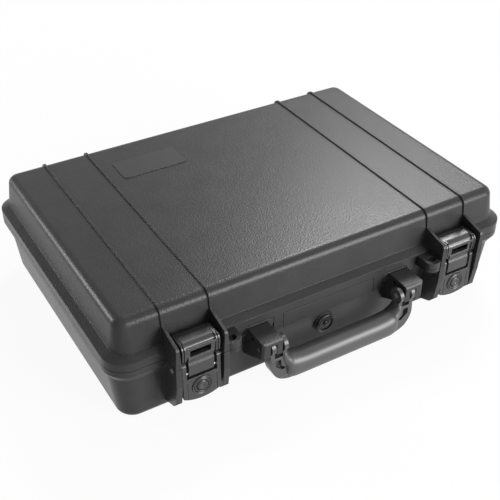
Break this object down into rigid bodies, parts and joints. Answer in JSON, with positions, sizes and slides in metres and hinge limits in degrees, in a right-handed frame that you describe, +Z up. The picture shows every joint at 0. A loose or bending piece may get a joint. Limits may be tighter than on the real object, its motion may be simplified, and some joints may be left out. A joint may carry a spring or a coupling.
{
  "type": "laptop hard case",
  "caption": "Hard-shell laptop case with a hinged lid, double-throw latches, a folding handle, padlock eyes and a foam-lined recess.",
  "frame": {"origin": "middle of the underside of the base, on the surface the case lies on", "axes": "+Z up, +X to the right seen from the front, -Y towards the latches and the handle, +Y towards the hinges"},
  "size_m": [0.422, 0.3345, 0.109],
  "materials": {
    "shell": "black polypropylene with a fine pebble grain",
    "latch": "black moulded nylon, semi-gloss",
    "handle": "black moulded nylon, satin",
    "grip": "smooth over-moulded grip, satin",
    "plate": "smooth, blank",
    "pin": "ground stainless steel",
    "seal": "soft black sealing ring",
    "valve": "black, semi-gloss",
    "membrane": "white breather membrane",
    "foam": "dark grey open-cell foam"
  },
  "bodies": {
    "base": {"base_shell": "shell", "base_pad": "foam", "base_foam": "foam", "valve_body": "valve", "valve_seal": "seal", "valve_membrane": "membrane", "valve_nut": "valve", "base_eye_left": "shell", "hinge_pin_left": "pin", "handle_pin_left": "pin", "latch_pivot_pins_left": "pin", "base_eye_right": "shell", "hinge_pin_right": "pin", "handle_pin_right": "pin", "latch_pivot_pins_right": "pin"},
    "lid": {"lid_shell": "shell", "lid_seal": "seal", "lid_foam": "foam", "nameplate": "plate", "lid_eye_left": "shell", "lid_eye_right": "shell"},
    "handle": {"handle_frame": "handle", "handle_grip": "grip"},
    "lever_left": {"latch_lever_left": "latch", "latch_hook_pin_left": "pin"},
    "hook_left": {"latch_hook_left": "latch"},
    "lever_right": {"latch_lever_right": "latch", "latch_hook_pin_right": "pin"},
    "hook_right": {"latch_hook_right": "latch"}
  },
  "joints": [
    {"name": "lid_hinge", "type": "hinge", "parent": "base", "child": "lid", "pos_m": [0, 0.1535, 0.0642], "axis": [-1, 0, 0], "range_deg": [0, 110]},
    {"name": "handle_swing", "type": "hinge", "parent": "base", "child": "handle", "pos_m": [0, -0.1645, 0.0523], "axis": [-1, 0, 0], "range_deg": [-8, 90]},
    {"name": "lever_left_turn", "type": "hinge", "parent": "base", "child": "lever_left", "pos_m": [-0.13775, -0.1542, 0.0582], "axis": [-1, 0, 0], "range_deg": [0, 80]},
    {"name": "hook_left_turn", "type": "hinge", "parent": "lever_left", "child": "hook_left", "pos_m": [-0.13775, -0.156, 0.0505], "axis": [1, 0, 0], "range_deg": [0, 95]},
    {"name": "lever_right_turn", "type": "hinge", "parent": "base", "child": "lever_right", "pos_m": [0.13775, -0.1542, 0.0582], "axis": [-1, 0, 0], "range_deg": [0, 80]},
    {"name": "hook_right_turn", "type": "hinge", "parent": "lever_right", "child": "hook_right", "pos_m": [0.13775, -0.156, 0.0505], "axis": [1, 0, 0], "range_deg": [0, 95]}
  ],
  "couplings": [
    {"joint": "hook_left_turn", "follows": "lever_left_turn", "ratio": 1.1875},
    {"joint": "hook_right_turn", "follows": "lever_right_turn", "ratio": 1.1875}
  ]
}
